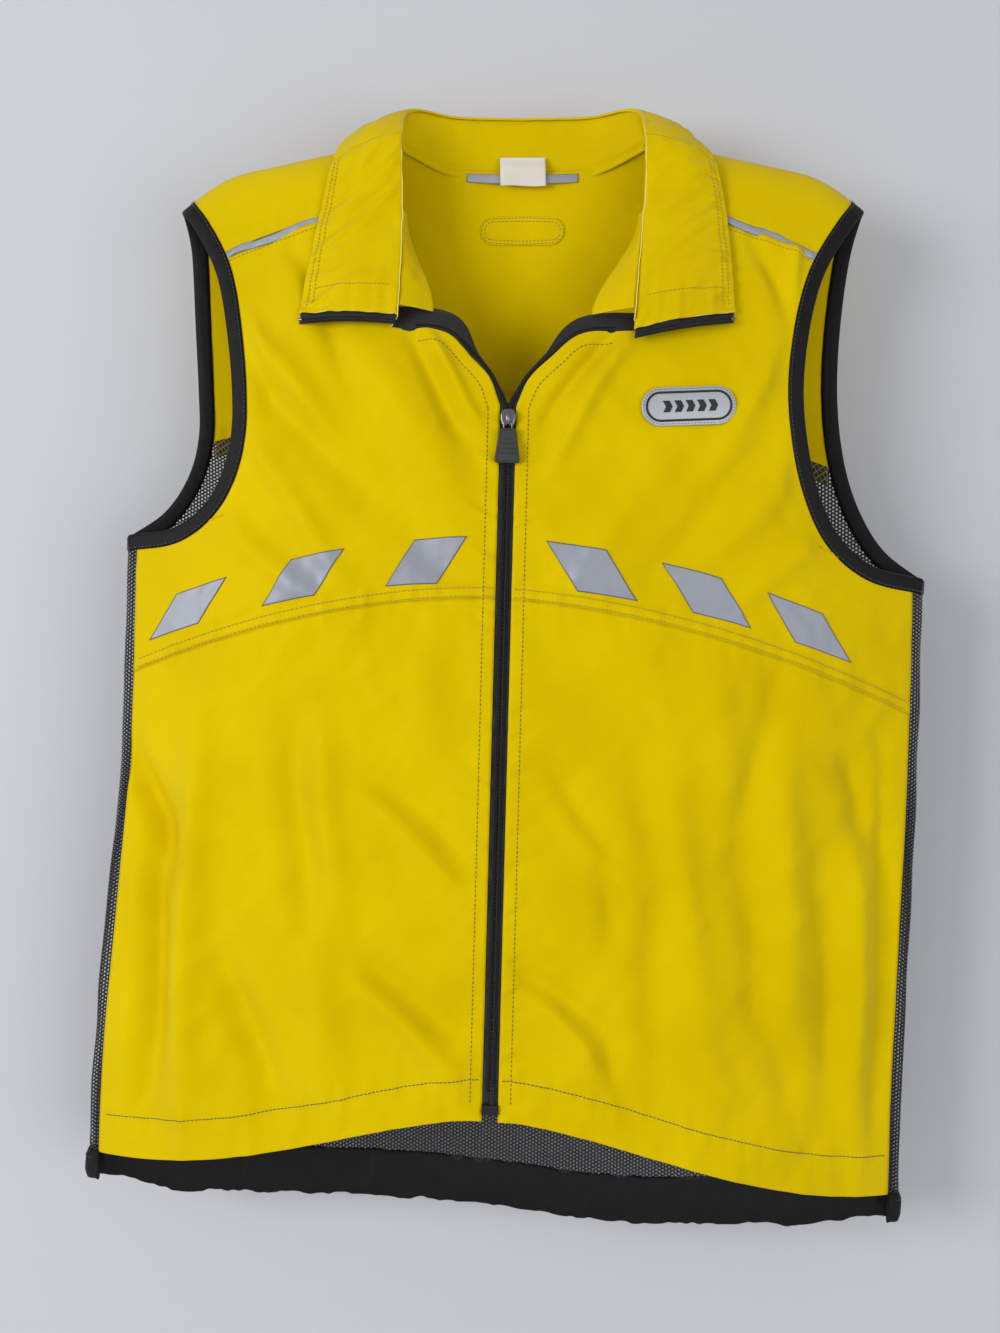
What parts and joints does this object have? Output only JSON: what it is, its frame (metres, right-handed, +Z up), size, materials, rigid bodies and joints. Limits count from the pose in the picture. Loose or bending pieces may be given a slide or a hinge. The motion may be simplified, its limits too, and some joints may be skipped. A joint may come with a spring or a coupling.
{
  "type": "high visibility vest",
  "caption": "Sleeveless hi-vis cycling vest with full front zip, folded-down collar, mesh back, bound armholes and a row of slanted reflectors.",
  "frame": {"origin": "middle of the back neck seam, where the hang loop is sewn in", "axes": "+Z up with the vest hanging, the front faces -Y, the wearer's left is +X"},
  "size_m": [0.5444, 0.0862, 0.7377],
  "materials": {
    "nylon": "plain-woven windproof nylon, soft sheen",
    "mesh": "open warp-knit mesh",
    "black_nylon": "matt woven nylon",
    "reflective_film": "grey retroreflective film on cloth",
    "zip_tape": "woven polyester tape",
    "zip_coil": "nylon coil",
    "zip_metal": "gunmetal plated",
    "pull_rubber": "soft matt rubber",
    "label": "satin label tape",
    "elastic": "woven elastic"
  },
  "bodies": {
    "root": {"front_yoke_left": "nylon", "front_yoke_right": "nylon", "front_lower_left": "nylon", "front_lower_right": "nylon", "front_hem_facing_left": "nylon", "front_hem_facing_right": "nylon", "back_yoke": "nylon", "collar_stand": "nylon", "collar_back_fall": "nylon", "neck_patch": "nylon", "back_mesh": "mesh", "back_hem_band": "black_nylon", "armhole_binding_left": "black_nylon", "armhole_binding_right": "black_nylon", "shoulder_piping_left": "reflective_film", "shoulder_piping_right": "reflective_film", "chest_badge": "reflective_film", "hang_loop": "reflective_film", "reflector_front_left_1": "reflective_film", "reflector_front_left_2": "reflective_film", "reflector_front_left_3": "reflective_film", "reflector_front_right_1": "reflective_film", "reflector_front_right_2": "reflective_film", "reflector_front_right_3": "reflective_film", "reflector_back_left_1": "reflective_film", "reflector_back_left_2": "reflective_film", "reflector_back_left_3": "reflective_film", "reflector_back_right_1": "reflective_film", "reflector_back_right_2": "reflective_film", "reflector_back_right_3": "reflective_film", "zip_tape_left": "zip_tape", "zip_tape_right": "zip_tape", "zip_coil_left": "zip_coil", "zip_coil_right": "zip_coil", "zip_retainer_box": "zip_coil", "zip_insertion_pin": "zip_coil", "hem_elastic": "elastic"},
    "slider": {"zip_slider_body": "zip_metal"},
    "pull": {"zip_pull_wire": "zip_metal", "zip_pull_tab": "pull_rubber"},
    "label": {"care_label": "label"},
    "collar_left": {"collar_wing_left": "nylon", "collar_tape_left": "zip_tape", "collar_coil_left": "zip_coil", "zip_top_stop_left": "zip_metal"},
    "collar_right": {"collar_wing_right": "nylon", "collar_tape_right": "zip_tape", "collar_coil_right": "zip_coil", "zip_top_stop_right": "zip_metal"}
  },
  "joints": [
    {"name": "zip_slide", "type": "slide", "parent": "root", "child": "slider", "axis": [-0.0263, 0, -0.9997], "range_m": [0, 0.415]},
    {"name": "pull_swing", "type": "hinge", "parent": "slider", "child": "pull", "pos_m": [-0.01005, -0.0687, -0.1771], "axis": [-0.9997, 0, 0.0263], "range_deg": [0, 120]},
    {"name": "label_swing", "type": "hinge", "parent": "root", "child": "label", "pos_m": [0, -0.0014, 0.009], "axis": [-1, 0, 0], "range_deg": [0, 100]},
    {"name": "collar_turn_left", "type": "hinge", "parent": "root", "child": "collar_left", "pos_m": [0.07843, -0.0432, 0.00967], "axis": [-0.0694, -0.1908, -0.9792], "range_deg": [0, 100]},
    {"name": "collar_turn_right", "type": "hinge", "parent": "root", "child": "collar_right", "pos_m": [-0.07843, -0.0432, 0.00967], "axis": [0.0149, 0.1945, 0.9808], "range_deg": [0, 100]}
  ]
}
